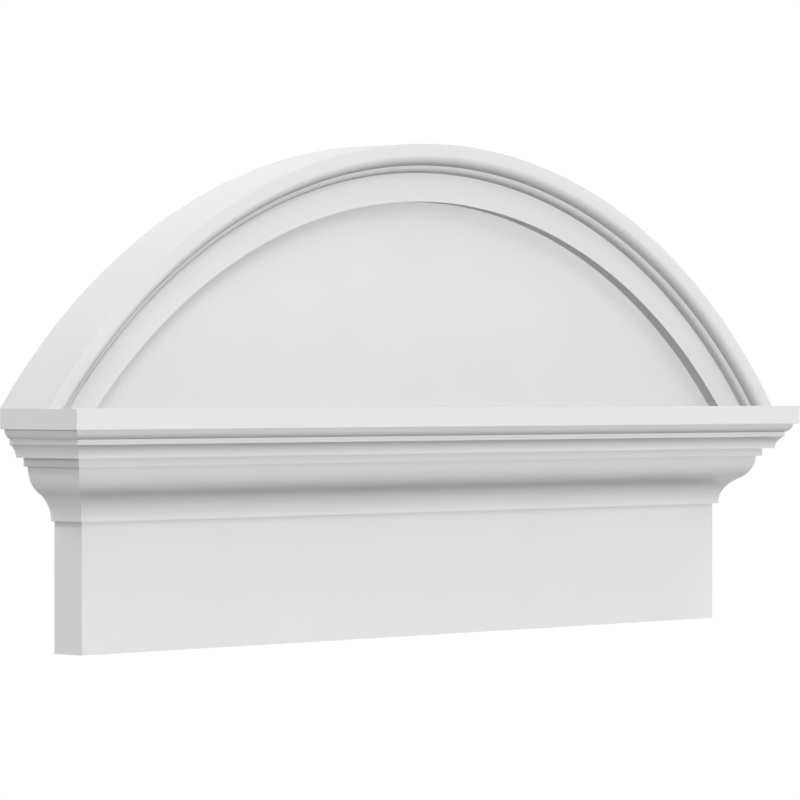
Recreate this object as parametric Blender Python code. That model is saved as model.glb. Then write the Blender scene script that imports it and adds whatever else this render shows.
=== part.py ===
"""Segmental pediment of white cellular PVC, for the head of a door or a window.

Metres, with +Z up and +X along the wall. The wall's face is the plane Y = 0 and the pediment looks
towards -Y. The origin is the middle of the frieze board's back.
"""

import math

import bmesh
import bpy
from mathutils import Matrix, Vector

INCH = 0.0254

# Frieze board
BOARD_WIDTH = 24.0 * INCH
BOARD_HEIGHT = 6.0 * INCH
BOARD_THICKNESS = 1.0 * INCH

# Heights of the cornice's members, from the top down
CAP_HEIGHT = 0.5 * INCH
OVOLO_HEIGHT = 0.238 * INCH
FILLET_HEIGHT = 0.125 * INCH
COVE_HEIGHT = 0.33 * INCH
BAND_HEIGHT = 0.22 * INCH
OGEE_HEIGHT = 1.327 * INCH
FOOT_HEIGHT = 0.02 * INCH

# How far each member steps back from the one above, down to what is left at the foot
CAP_STEP = 0.13 * INCH
OVOLO_STEP = 0.17 * INCH
COVE_STEP = 0.2 * INCH
SOFFIT_STEP = 0.25 * INCH
BAND_STEP = 0.127 * INCH
OGEE_STEP = 0.76 * INCH
FOOT_PROJECTION = 0.113 * INCH

# Arch, whose foot is as wide as the cornice's cap
ARCH_RISE = 6.875 * INCH
ARCH_DEPTH = 1.75 * INCH
ARCH_FACE_WIDTH = 0.3 * INCH
ARCH_OUTER_ROUND_WIDTH = 0.26 * INCH
ARCH_OUTER_ROUND_DEPTH = 0.2 * INCH
ARCH_INNER_ROUND_WIDTH = 0.183 * INCH
ARCH_INNER_ROUND_DEPTH = 0.205 * INCH
ARCH_BAND_WIDTH = 0.75 * INCH

# Panel inside the arch
PANEL_THICKNESS = BOARD_THICKNESS

# Glue line between two pieces
GLUE_LINE = 0.0003

# How finely curves are cut into flats
PROFILE_STEPS = 7
ARC_STEP = math.radians(1.5)

PVC_COLOUR = (0.74, 0.74, 0.74, 1.0)
PVC_ROUGHNESS = 0.5

CORNICE_HEIGHT = (
    CAP_HEIGHT + OVOLO_HEIGHT + FILLET_HEIGHT + COVE_HEIGHT + BAND_HEIGHT + OGEE_HEIGHT + FOOT_HEIGHT
)
CORNICE_PROJECTION = (
    CAP_STEP + OVOLO_STEP + COVE_STEP + SOFFIT_STEP + BAND_STEP + OGEE_STEP + FOOT_PROJECTION
)
BOARD_TOP = BOARD_HEIGHT / 2
BOARD_END = BOARD_WIDTH / 2

ARCH_HALF_CHORD = BOARD_END + CORNICE_PROJECTION
ARCH_RADIUS = (ARCH_HALF_CHORD**2 + ARCH_RISE**2) / (2 * ARCH_RISE)
ARCH_CENTRE = BOARD_TOP + ARCH_RISE - ARCH_RADIUS
ARCH_RING_WIDTH = ARCH_FACE_WIDTH + ARCH_OUTER_ROUND_WIDTH + ARCH_INNER_ROUND_WIDTH + ARCH_BAND_WIDTH


def clear_scene():
    """Remove every object of the open file."""
    for item in list(bpy.data.objects):
        bpy.data.objects.remove(item, do_unlink=True)


def pvc(name):
    """White cellular PVC with a smooth satin skin."""
    material = bpy.data.materials.new(name)
    material.use_nodes = True
    shader = material.node_tree.nodes["Principled BSDF"]
    shader.inputs["Base Color"].default_value = PVC_COLOUR
    shader.inputs["Roughness"].default_value = PVC_ROUGHNESS
    shader.inputs["Metallic"].default_value = 0.0
    return material


def finish(name, solid):
    """Turn a finished bmesh into a named object with a material of its own."""
    bmesh.ops.recalc_face_normals(solid, faces=solid.faces)
    mesh = bpy.data.meshes.new(name)
    solid.to_mesh(mesh)
    solid.free()
    mesh.materials.append(pvc(name + "_pvc"))
    piece = bpy.data.objects.new(name, mesh)
    bpy.context.collection.objects.link(piece)
    return piece


def outline_face(solid, points):
    """One face through the given points."""
    return solid.faces.new([solid.verts.new(point) for point in points])


def pull(solid, face, along):
    """Extrude a face into a solid."""
    pulled = bmesh.ops.extrude_face_region(solid, geom=[face])
    moved = [item for item in pulled["geom"] if isinstance(item, bmesh.types.BMVert)]
    bmesh.ops.translate(solid, verts=moved, vec=along)


def saw_off(solid, point, outwards):
    """Cut the solid through a plane, drop what lies outwards of it and close the cut."""
    everything = solid.verts[:] + solid.edges[:] + solid.faces[:]
    cut = bmesh.ops.bisect_plane(
        solid, geom=everything, dist=1e-7, plane_co=point, plane_no=outwards, clear_outer=True
    )
    rim = [item for item in cut["geom_cut"] if isinstance(item, bmesh.types.BMEdge)]
    bmesh.ops.edgeloop_fill(solid, edges=rim)


def upright_arc(start, end, upright_at_start):
    """Points after start on the round arc to end that stands upright at one of its two ends.

    A point is how far it projects and its place along the face.
    """
    fixed, free = (start, end) if upright_at_start else (end, start)
    across = free[0] - fixed[0]
    along = free[1] - fixed[1]
    sweep = 2 * math.atan2(abs(across), abs(along))
    radius = abs(along) / math.sin(sweep)
    points = []
    for step in range(PROFILE_STEPS + 1):
        turn = sweep * step / PROFILE_STEPS
        points.append((
            fixed[0] + math.copysign(radius * (1 - math.cos(turn)), across),
            fixed[1] + math.copysign(radius * math.sin(turn), along),
        ))
    if not upright_at_start:
        points.reverse()
    return points[1:]


def quarter_round(start, end):
    """Points after start on a quarter round that leaves start along the face and meets end square to it."""
    points = []
    for step in range(1, PROFILE_STEPS + 1):
        turn = math.pi / 2 * step / PROFILE_STEPS
        points.append((
            start[0] + (end[0] - start[0]) * (1 - math.cos(turn)),
            start[1] + (end[1] - start[1]) * math.sin(turn),
        ))
    return points


def cornice_section():
    """Outline of the cornice: projection beyond the board's face, and height."""
    out = CORNICE_PROJECTION
    up = BOARD_TOP
    section = [(GLUE_LINE, up), (out, up)]

    up -= CAP_HEIGHT
    section.append((out, up))
    out -= CAP_STEP
    section.append((out, up))

    section += upright_arc((out, up), (out - OVOLO_STEP, up - OVOLO_HEIGHT), upright_at_start=True)
    out -= OVOLO_STEP
    up -= OVOLO_HEIGHT + FILLET_HEIGHT
    section.append((out, up))

    section += upright_arc((out, up), (out - COVE_STEP, up - COVE_HEIGHT), upright_at_start=False)
    out -= COVE_STEP + SOFFIT_STEP
    up -= COVE_HEIGHT
    section.append((out, up))
    up -= BAND_HEIGHT
    section.append((out, up))

    out -= BAND_STEP
    top = (out, up)
    middle = (out - OGEE_STEP / 2, up - OGEE_HEIGHT / 2)
    bottom = (out - OGEE_STEP, up - OGEE_HEIGHT)
    section.append(top)
    section += upright_arc(top, middle, upright_at_start=True)
    section += upright_arc(middle, bottom, upright_at_start=False)

    foot = bottom[1] - FOOT_HEIGHT
    section += [(bottom[0], foot), (GLUE_LINE, foot)]
    return section


def mitre_corner(side):
    """A point on the mitre of the left (-1) or right (+1) corner, at the board's own corner."""
    return Vector((side * BOARD_END, -BOARD_THICKNESS, 0.0))


def mitre_normal(side):
    """Direction across a mitre, from the front length to the return."""
    return Vector((side, 1.0, 0.0)).normalized()


def frieze_board():
    """The flat board that carries the cornice and the panel."""
    solid = bmesh.new()
    size = Vector((BOARD_WIDTH, BOARD_THICKNESS, BOARD_HEIGHT))
    middle = Vector((0.0, -BOARD_THICKNESS / 2, 0.0))
    bmesh.ops.create_cube(solid, size=1.0, matrix=Matrix.Translation(middle) @ Matrix.Diagonal(size.to_4d()))
    return finish("frieze_board", solid)


def cornice_front():
    """The length of cornice along the board's face, mitred at both ends."""
    solid = bmesh.new()
    reach = BOARD_END + CORNICE_PROJECTION
    start = [(-reach, -BOARD_THICKNESS - out, up) for out, up in cornice_section()]
    pull(solid, outline_face(solid, start), Vector((2 * reach, 0.0, 0.0)))
    for side in (-1, 1):
        across = mitre_normal(side)
        saw_off(solid, mitre_corner(side) - across * GLUE_LINE / 2, across)
    return finish("cornice_front", solid)


def cornice_return(name, side):
    """The length of cornice along one end of the board, mitred in front and square at the wall."""
    solid = bmesh.new()
    reach = BOARD_THICKNESS + CORNICE_PROJECTION
    start = [(side * (BOARD_END + out), 0.0, up) for out, up in cornice_section()]
    pull(solid, outline_face(solid, start), Vector((0.0, -reach, 0.0)))
    across = mitre_normal(side)
    saw_off(solid, mitre_corner(side) + across * GLUE_LINE / 2, -across)
    return finish(name, solid)


def arch_section():
    """Outline of the arch: projection from the wall, and radius."""
    out = ARCH_DEPTH
    radius = ARCH_RADIUS
    section = [(0.0, radius), (out, radius)]
    radius -= ARCH_FACE_WIDTH
    section.append((out, radius))
    foot = (out - ARCH_OUTER_ROUND_DEPTH, radius - ARCH_OUTER_ROUND_WIDTH)
    section += upright_arc((out, radius), foot, upright_at_start=True)
    out, radius = foot
    foot = (out - ARCH_INNER_ROUND_DEPTH, radius - ARCH_INNER_ROUND_WIDTH)
    section += quarter_round((out, radius), foot)
    out, radius = foot
    radius -= ARCH_BAND_WIDTH
    section += [(out, radius), (0.0, radius)]
    return section


def arch_moulding():
    """The ring segment, turned about its centre and sawn off level where it stands on the cornice."""
    solid = bmesh.new()
    springing = math.asin(ARCH_HALF_CHORD / ARCH_RADIUS)
    half_steps = math.ceil(springing / ARC_STEP) + 1
    reach = half_steps * ARC_STEP
    centre = Vector((0.0, 0.0, ARCH_CENTRE))
    start = [
        centre + Vector((-radius * math.sin(reach), -out, radius * math.cos(reach)))
        for out, radius in arch_section()
    ]
    bmesh.ops.spin(
        solid, geom=[outline_face(solid, start)], cent=centre, axis=Vector((0.0, 1.0, 0.0)),
        angle=2 * reach, steps=2 * half_steps, use_duplicate=False
    )
    saw_off(solid, Vector((0.0, 0.0, BOARD_TOP + GLUE_LINE)), Vector((0.0, 0.0, -1.0)))
    return finish("arch_moulding", solid)


def tympanum_panel():
    """The flat panel that fills the arch, standing on the board."""
    solid = bmesh.new()
    radius = ARCH_RADIUS - ARCH_RING_WIDTH - GLUE_LINE
    upright = Matrix.Rotation(math.pi / 2, 4, "X")
    bmesh.ops.create_circle(
        solid, cap_ends=True, radius=radius, segments=round(2 * math.pi / ARC_STEP),
        matrix=Matrix.Translation((0.0, 0.0, ARCH_CENTRE)) @ upright
    )
    everything = solid.verts[:] + solid.edges[:] + solid.faces[:]
    bmesh.ops.bisect_plane(
        solid, geom=everything, dist=1e-7, plane_co=(0.0, 0.0, BOARD_TOP + GLUE_LINE),
        plane_no=(0.0, 0.0, -1.0), clear_outer=True
    )
    pull(solid, solid.faces[:][0], Vector((0.0, -PANEL_THICKNESS, 0.0)))
    return finish("tympanum_panel", solid)


def main():
    clear_scene()
    frieze_board()
    cornice_front()
    cornice_return("cornice_return_left", -1)
    cornice_return("cornice_return_right", 1)
    arch_moulding()
    tympanum_panel()


main()
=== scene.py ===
"""Segmental pediment of white cellular PVC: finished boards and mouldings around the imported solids."""

import math

import bpy
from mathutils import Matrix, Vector


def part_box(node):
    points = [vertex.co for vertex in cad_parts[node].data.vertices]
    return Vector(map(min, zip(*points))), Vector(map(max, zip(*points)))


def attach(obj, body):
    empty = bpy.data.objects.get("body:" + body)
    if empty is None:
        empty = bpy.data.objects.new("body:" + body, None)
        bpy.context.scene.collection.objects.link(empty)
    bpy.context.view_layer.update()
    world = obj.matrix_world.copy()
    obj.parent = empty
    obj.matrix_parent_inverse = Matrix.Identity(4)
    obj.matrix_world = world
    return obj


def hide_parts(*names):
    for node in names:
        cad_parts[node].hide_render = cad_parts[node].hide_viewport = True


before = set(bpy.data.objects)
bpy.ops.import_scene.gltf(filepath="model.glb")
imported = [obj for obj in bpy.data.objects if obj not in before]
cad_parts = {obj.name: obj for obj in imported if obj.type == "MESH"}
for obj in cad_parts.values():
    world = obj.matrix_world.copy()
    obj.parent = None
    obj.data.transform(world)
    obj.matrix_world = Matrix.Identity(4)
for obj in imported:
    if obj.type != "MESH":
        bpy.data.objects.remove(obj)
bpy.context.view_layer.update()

INCH = 0.0254
MM = 0.001

# Heights of the cornice's members, from the top down
CAP_HEIGHT = 0.5 * INCH
OVOLO_HEIGHT = 0.238 * INCH
FILLET_HEIGHT = 0.125 * INCH
COVE_HEIGHT = 0.33 * INCH
BAND_HEIGHT = 0.22 * INCH
OGEE_HEIGHT = 1.327 * INCH
FOOT_HEIGHT = 0.02 * INCH

# How far each member steps back from the one above
CAP_STEP = 0.13 * INCH
OVOLO_STEP = 0.17 * INCH
COVE_STEP = 0.2 * INCH
SOFFIT_STEP = 0.25 * INCH
BAND_STEP = 0.127 * INCH
OGEE_STEP = 0.76 * INCH

# Members of the arch, from its outer curve inwards
ARCH_FACE_WIDTH = 0.3 * INCH
ARCH_OUTER_ROUND_WIDTH = 0.26 * INCH
ARCH_OUTER_ROUND_DEPTH = 0.2 * INCH
ARCH_INNER_ROUND_WIDTH = 0.183 * INCH
ARCH_INNER_ROUND_DEPTH = 0.205 * INCH
ARCH_BAND_WIDTH = 0.75 * INCH

# A sanded arris, and how finely curves are cut
ARRIS = 0.05 * MM
ARRIS_STEPS = 2
PROFILE_STEPS = 12
ARC_STEP = math.radians(0.75)
SMOOTH_BELOW = math.radians(20)

# Points nearer to each other than this are welded, and a point this near to a corner is the corner's
WELD = 0.001 * MM
CORNER_REACH = 0.05 * MM

# How much of its width the arch's inner round takes, so that it ends just short of the next corner
ROUND_SHARE = 0.999

# Size of the patches in which the white changes by a shade
TONE_PATCH = 60 * MM

# What the frame gives
board_low, board_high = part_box("frieze_board")
cap_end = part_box("cornice_return_right")[1].x
cap_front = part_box("cornice_front")[0].y
arch_low, arch_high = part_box("arch_moulding")
BOARD_END = board_high.x
BOARD_FACE = board_low.y
BOARD_TOP = board_high.z
WALL = board_high.y
CORNICE_PROJECTION = cap_end - BOARD_END
ARCH_RISE = arch_high.z - BOARD_TOP
ARCH_DEPTH = WALL - arch_low.y
ARCH_RADIUS = (cap_end**2 + ARCH_RISE**2) / (2 * ARCH_RISE)
ARCH_CENTRE = Vector((0.0, 0.0, arch_high.z - ARCH_RADIUS))
ARCH_RING_WIDTH = ARCH_FACE_WIDTH + ARCH_OUTER_ROUND_WIDTH + ARCH_INNER_ROUND_WIDTH + ARCH_BAND_WIDTH
SPRINGING = math.asin(cap_end / ARCH_RADIUS)

# The camera of the photograph, whose view is 800 pixels wide, and how far it sees in metres
VIEW_WIDTH = 800
FOCAL_PIXELS = 4305.2
HORIZON_ABOVE_MIDDLE = 9.55
SENSOR_MM = 36.0
CAMERA_TURN = math.radians(46.387)
CAMERA_PLACE = Vector((-82.296, -78.631, 3.435)) * INCH
CAMERA_REACH = 200.0

# The floor in metres: its side, and its level, as far below the pediment as a door is high
FLOOR_SIDE = 60.0
FLOOR_LEVEL = -2.1

# Width of each lamp as seen from the pediment
LAMP_SPREAD = math.radians(24)


def linear(hex_colour):
    """Turn an sRGB hex colour such as F4F3F0 into linear red, green, blue and alpha."""
    values = []
    for place in (0, 2, 4):
        share = int(hex_colour[place:place + 2], 16) / 255
        values.append(share / 12.92 if share <= 0.04045 else ((share + 0.055) / 1.055) ** 2.4)
    return (*values, 1.0)


def node(tree, kind, settings=(), links=()):
    """Add a shader node, set its sockets, and link other sockets into it."""
    added = tree.nodes.new(kind)
    for name, value in dict(settings).items():
        added.inputs[name].default_value = value
    for name, socket in dict(links).items():
        tree.links.new(socket, added.inputs[name])
    return added


def cellular_pvc(name, grain_mm, grain_depth_mm):
    """Cellular PVC trim: a hard white skin over a foamed core, calendered flat or milled to a moulding.

    To the eye it is an even white with a low, broad sheen. Its skin has a very fine pebble, too shallow
    to cast a shadow, which only breaks the sheen up.
    """
    material = bpy.data.materials.new(name)
    material.use_nodes = True
    tree = material.node_tree
    shader = tree.nodes["Principled BSDF"]
    shader.inputs["Metallic"].default_value = 0.0
    shader.inputs["IOR"].default_value = 1.53
    shader.inputs["Specular IOR Level"].default_value = 0.25
    place = node(tree, "ShaderNodeTexCoord").outputs["Object"]

    # The white changes by one shade over wide patches
    clouds = node(
        tree, "ShaderNodeTexNoise", settings={"Scale": 1 / TONE_PATCH, "Detail": 3.0, "Roughness": 0.5},
        links={"Vector": place}
    )
    tone = node(tree, "ShaderNodeValToRGB", links={"Fac": clouds.outputs["Fac"]})
    tone.color_ramp.elements[0].position = 0.3
    tone.color_ramp.elements[0].color = linear("D7D7D7")
    tone.color_ramp.elements[1].position = 0.7
    tone.color_ramp.elements[1].color = linear("D9D9D9")
    tree.links.new(tone.outputs["Color"], shader.inputs["Base Color"])

    # The pebble, with its low places less rough than its high ones
    grain = node(
        tree, "ShaderNodeTexNoise", settings={"Scale": 1 / (grain_mm * MM), "Detail": 2.0, "Roughness": 0.6},
        links={"Vector": place}
    )
    sheen = node(
        tree, "ShaderNodeMapRange", settings={"To Min": 0.55, "To Max": 0.65},
        links={"Value": grain.outputs["Fac"]}
    )
    tree.links.new(sheen.outputs["Result"], shader.inputs["Roughness"])
    pebble = node(
        tree, "ShaderNodeBump", settings={"Strength": 1.0, "Distance": grain_depth_mm * MM},
        links={"Height": grain.outputs["Fac"]}
    )
    tree.links.new(pebble.outputs["Normal"], shader.inputs["Normal"])
    return material


def begin(kind, **placed):
    """Add a primitive with nothing else selected, and open it in edit mode."""
    bpy.ops.object.select_all(action="DESELECT")
    getattr(bpy.ops.mesh, "primitive_" + kind + "_add")(**placed)
    bpy.ops.object.mode_set(mode="EDIT")


def begin_outline(point):
    """Start a section outline at one point: a small plane drawn together into its middle."""
    begin("plane", size=INCH, location=point)
    bpy.ops.mesh.merge(type="CENTER")


def straight(step):
    """Draw the outline on by a straight line."""
    bpy.ops.mesh.extrude_vertices_move(TRANSFORM_OT_translate={"value": step})


def turned(centre, axis, angle):
    """Draw the outline on by an arc about a centre, clockwise as seen along the axis from its tail."""
    bpy.ops.mesh.spin(steps=PROFILE_STEPS, angle=angle, center=centre, axis=axis)


def weld():
    """Join the points that lie on each other, in the whole piece."""
    bpy.ops.mesh.select_all(action="SELECT")
    bpy.ops.mesh.remove_doubles(threshold=WELD)


def select_points(piece, places):
    """In edit mode, select the vertices that lie at the given places."""
    bpy.ops.mesh.select_all(action="DESELECT")
    bpy.ops.mesh.select_mode(type="VERT")
    bpy.ops.object.mode_set(mode="OBJECT")
    for vertex in piece.data.vertices:
        world = piece.matrix_world @ vertex.co
        vertex.select = any((world - place).length < CORNER_REACH for place in places)
    bpy.ops.object.mode_set(mode="EDIT")


def round_corners(piece, places, radius, steps):
    """Round the corners of a section outline at the given places."""
    select_points(piece, places)
    bpy.ops.mesh.bevel(offset=radius, segments=steps, profile=0.5, affect="VERTICES")


def saw(point, outwards):
    """Saw the piece through a plane, drop what lies outwards of it and close the cut."""
    bpy.ops.mesh.select_all(action="SELECT")
    bpy.ops.mesh.bisect(plane_co=point, plane_no=outwards, use_fill=True, clear_outer=True)


def finish_piece(name, node_name, material):
    """Close edit mode, apply the piece's place, shade it and hand it to the frame.

    No light bounces from piece to piece, since the hollows in the photograph are as dark as without it.
    """
    bpy.ops.mesh.select_all(action="SELECT")
    bpy.ops.mesh.normals_make_consistent(inside=False)
    bpy.ops.object.mode_set(mode="OBJECT")
    bpy.ops.object.transform_apply(location=True, rotation=True, scale=True)
    bpy.ops.object.shade_smooth_by_angle(angle=SMOOTH_BELOW)
    piece = bpy.context.object
    piece.name = name
    piece.data.name = name
    piece.data.materials.clear()
    piece.data.materials.append(material)
    piece.visible_diffuse = False
    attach(piece, "root")
    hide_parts(node_name)


def draw_cornice(place, axis):
    """Draw the cornice's section and fill it.

    place turns a projection from the board and a height into a point, and axis is the way to look
    along the moulding for which a turn leads down and back to the board.
    """
    out = 0.0
    up = BOARD_TOP
    begin_outline(place(out, up))
    piece = bpy.context.object
    arrises = []

    def line_to(new_out, new_up):
        nonlocal out, up
        straight(place(new_out, new_up) - place(out, up))
        out, up = new_out, new_up

    def hollow_or_round(width, height, is_round):
        """An arc that steps back by width and down by height, upright at its top if round, else below."""
        nonlocal out, up
        sweep = 2 * math.atan2(width, height)
        radius = height / math.sin(sweep)
        if is_round:
            turned(place(out - radius, up), axis, sweep)
        else:
            turned(place(out - width + radius, up - height), axis, -sweep)
        out, up = out - width, up - height

    line_to(CORNICE_PROJECTION, up)
    arrises.append(place(out, up))
    line_to(out, up - CAP_HEIGHT)
    arrises.append(place(out, up))
    line_to(out - CAP_STEP, up)
    hollow_or_round(OVOLO_STEP, OVOLO_HEIGHT, is_round=True)
    line_to(out, up - FILLET_HEIGHT)
    arrises.append(place(out, up))
    hollow_or_round(COVE_STEP, COVE_HEIGHT, is_round=False)
    arrises.append(place(out, up))
    line_to(out - SOFFIT_STEP, up)
    line_to(out, up - BAND_HEIGHT)
    arrises.append(place(out, up))
    line_to(out - BAND_STEP, up)
    hollow_or_round(OGEE_STEP / 2, OGEE_HEIGHT / 2, is_round=True)
    hollow_or_round(OGEE_STEP / 2, OGEE_HEIGHT / 2, is_round=False)
    line_to(out, up - FOOT_HEIGHT)
    arrises.append(place(out, up))
    line_to(0.0, up)
    weld()
    bpy.ops.mesh.edge_face_add()
    round_corners(piece, arrises, ARRIS, ARRIS_STEPS)
    bpy.ops.mesh.select_all(action="SELECT")


def mitre(side):
    """A point on a corner's mitre and the way across it, towards the return."""
    return Vector((side * BOARD_END, BOARD_FACE, 0.0)), Vector((side, 1.0, 0.0)).normalized()


def front_cornice(material):
    """The length of cornice along the board's face, sawn to a mitre at both ends."""
    draw_cornice(lambda out, up: Vector((-cap_end, BOARD_FACE - out, up)), (-1.0, 0.0, 0.0))
    bpy.ops.mesh.extrude_region_move(TRANSFORM_OT_translate={"value": (2 * cap_end, 0.0, 0.0)})
    for side in (-1, 1):
        point, across = mitre(side)
        saw(point, across)
    finish_piece("front_cornice", "cornice_front", material)


def return_cornice(name, node_name, side, material):
    """The length of cornice along one end of the board, mitred in front and square at the wall."""
    draw_cornice(lambda out, up: Vector((side * (BOARD_END + out), WALL, up)), (0.0, -side, 0.0))
    bpy.ops.mesh.extrude_region_move(TRANSFORM_OT_translate={"value": (0.0, cap_front - WALL, 0.0)})
    point, across = mitre(side)
    saw(point, -across)
    finish_piece(name, node_name, material)


def arch(material):
    """The arch's ring: a stepped section with rounded corners, turned about the centre."""
    half_steps = math.ceil(SPRINGING / ARC_STEP) + 1
    reach = half_steps * ARC_STEP
    outwards = Vector((-math.sin(reach), 0.0, math.cos(reach)))
    forwards = Vector((0.0, -1.0, 0.0))
    here = ARCH_CENTRE + outwards * ARCH_RADIUS
    begin_outline(here)
    piece = bpy.context.object

    def line(step):
        """Draw the outline on by a straight line, and give the corner that it reaches."""
        nonlocal here
        straight(step)
        here = here + step
        return here

    face_arris = line(forwards * ARCH_DEPTH)
    line(-outwards * ARCH_FACE_WIDTH)
    sweep = 2 * math.atan2(ARCH_OUTER_ROUND_DEPTH, ARCH_OUTER_ROUND_WIDTH)
    round_centre = here - forwards * ARCH_OUTER_ROUND_WIDTH / math.sin(sweep)
    turned(round_centre, forwards.cross(outwards), sweep)
    here = here - forwards * ARCH_OUTER_ROUND_DEPTH - outwards * ARCH_OUTER_ROUND_WIDTH
    inner_round = line(-outwards * ARCH_INNER_ROUND_WIDTH)
    line(-forwards * ARCH_INNER_ROUND_DEPTH)
    band_arris = line(-outwards * ARCH_BAND_WIDTH)
    line(-forwards * (ARCH_DEPTH - ARCH_OUTER_ROUND_DEPTH - ARCH_INNER_ROUND_DEPTH))
    weld()
    bpy.ops.mesh.edge_face_add()
    round_corners(piece, [inner_round], ARCH_INNER_ROUND_WIDTH * ROUND_SHARE, PROFILE_STEPS)
    round_corners(piece, [face_arris, band_arris], ARRIS, ARRIS_STEPS)
    bpy.ops.mesh.select_all(action="SELECT")
    bpy.ops.mesh.spin(steps=2 * half_steps, angle=2 * reach, center=ARCH_CENTRE, axis=forwards)
    weld()
    saw(Vector((0.0, 0.0, BOARD_TOP)), Vector((0.0, 0.0, -1.0)))
    finish_piece("arch", "arch_moulding", material)


def panel(material):
    """The panel inside the arch: a disc sawn off level with the board's top and given its thickness."""
    begin(
        "circle", radius=ARCH_RADIUS - ARCH_RING_WIDTH, vertices=round(2 * math.pi / ARC_STEP),
        fill_type="NGON", location=ARCH_CENTRE, rotation=(math.pi / 2, 0.0, 0.0)
    )
    saw(Vector((0.0, 0.0, BOARD_TOP)), Vector((0.0, 0.0, -1.0)))
    bpy.ops.mesh.select_all(action="SELECT")
    bpy.ops.mesh.extrude_region_move(TRANSFORM_OT_translate={"value": (0.0, BOARD_FACE - WALL, 0.0)})
    finish_piece("panel", "tympanum_panel", material)


def board(material):
    """The frieze board, with its arrises sanded."""
    begin("cube", size=1.0, location=(board_low + board_high) / 2, scale=board_high - board_low)
    bpy.ops.object.mode_set(mode="OBJECT")
    bpy.ops.object.transform_apply(location=False, rotation=False, scale=True)
    bpy.ops.object.mode_set(mode="EDIT")
    bpy.ops.mesh.select_all(action="SELECT")
    bpy.ops.mesh.bevel(offset=ARRIS, segments=ARRIS_STEPS, affect="EDGES")
    finish_piece("board", "frieze_board", material)


def camera():
    """The camera at the photograph's place, looking level."""
    data = bpy.data.cameras.new("camera")
    data.sensor_width = SENSOR_MM
    data.lens = FOCAL_PIXELS * SENSOR_MM / VIEW_WIDTH
    data.shift_y = -HORIZON_ABOVE_MIDDLE / VIEW_WIDTH
    data.clip_end = CAMERA_REACH
    placed = bpy.data.objects.new("camera", data)
    placed.location = CAMERA_PLACE
    placed.rotation_euler = (math.pi / 2, 0.0, -CAMERA_TURN)
    bpy.context.scene.collection.objects.link(placed)
    bpy.context.scene.camera = placed


def floor():
    """A plain floor that shines as white as the backdrop, and lights and shades nothing."""
    bpy.ops.object.select_all(action="DESELECT")
    bpy.ops.mesh.primitive_plane_add(size=FLOOR_SIDE, location=(0.0, 0.0, FLOOR_LEVEL))
    ground = bpy.context.object
    ground.name = "floor"
    white = bpy.data.materials.new("white floor")
    white.use_nodes = True
    shader = white.node_tree.nodes["Principled BSDF"]
    shader.inputs["Base Color"].default_value = (0.0, 0.0, 0.0, 1.0)
    shader.inputs["Specular IOR Level"].default_value = 0.0
    shader.inputs["Emission Color"].default_value = (1.0, 1.0, 1.0, 1.0)
    shader.inputs["Emission Strength"].default_value = 1.0
    ground.data.materials.append(white)
    ground.visible_diffuse = False
    ground.visible_glossy = False
    ground.visible_shadow = False


def soft_lamp(name, azimuth, elevation, strength, casts_shadow=True):
    """A far, soft lamp, with its place in degrees and its strength in watts per square metre.

    Azimuth 0 is in front of the pediment, and the left is negative.
    """
    data = bpy.data.lights.new(name, "SUN")
    data.energy = strength
    data.angle = LAMP_SPREAD
    data.use_shadow = casts_shadow
    lamp = bpy.data.objects.new(name, data)
    across, up = math.radians(azimuth), math.radians(elevation)
    comes_from = Vector((math.sin(across) * math.cos(up), -math.cos(across) * math.cos(up), math.sin(up)))
    lamp.rotation_euler = (-comes_from).to_track_quat("-Z", "Y").to_euler()
    bpy.context.scene.collection.objects.link(lamp)


def studio_light():
    """Soft lamps all round, and a white backdrop that is seen but lights nothing.

    The key lamp and the one from below cast no shadow, since the photograph shows none of theirs. The
    two behind are for the back and the right end, which the photograph doesn't show.
    """
    world = bpy.data.worlds.new("studio")
    bpy.context.scene.world = world
    world.use_nodes = True
    tree = world.node_tree
    seen = node(tree, "ShaderNodeLightPath").outputs["Is Camera Ray"]
    sky = tree.nodes["Background"]
    sky.inputs["Color"].default_value = (1.0, 1.0, 1.0, 1.0)
    tree.links.new(seen, sky.inputs["Strength"])
    soft_lamp("key", 15, 30, 2.5, casts_shadow=False)
    soft_lamp("front high", 15, 50, 0.75)
    soft_lamp("left", -60, 10, 1.0)
    soft_lamp("left high", -110, 50, 1.5)
    soft_lamp("right high", 60, 60, 1.25)
    soft_lamp("left low", -90, -30, 0.6)
    soft_lamp("right low", 60, -30, 0.5)
    soft_lamp("from below", -90, -60, 0.8, casts_shadow=False)
    soft_lamp("behind", 180, 0, 1.5)
    soft_lamp("behind right", 120, -30, 1.5)
    bpy.context.scene.view_settings.view_transform = "Standard"


# The skin that a cutter leaves is finer than the one that comes from between rolls
mouldings = cellular_pvc("milled cellular PVC moulding", grain_mm=0.8, grain_depth_mm=0.004)
boards = cellular_pvc("calendered cellular PVC board", grain_mm=1.2, grain_depth_mm=0.005)
board(boards)
panel(boards)
front_cornice(mouldings)
return_cornice("left_return", "cornice_return_left", -1, mouldings)
return_cornice("right_return", "cornice_return_right", 1, mouldings)
arch(mouldings)
floor()
studio_light()
camera()
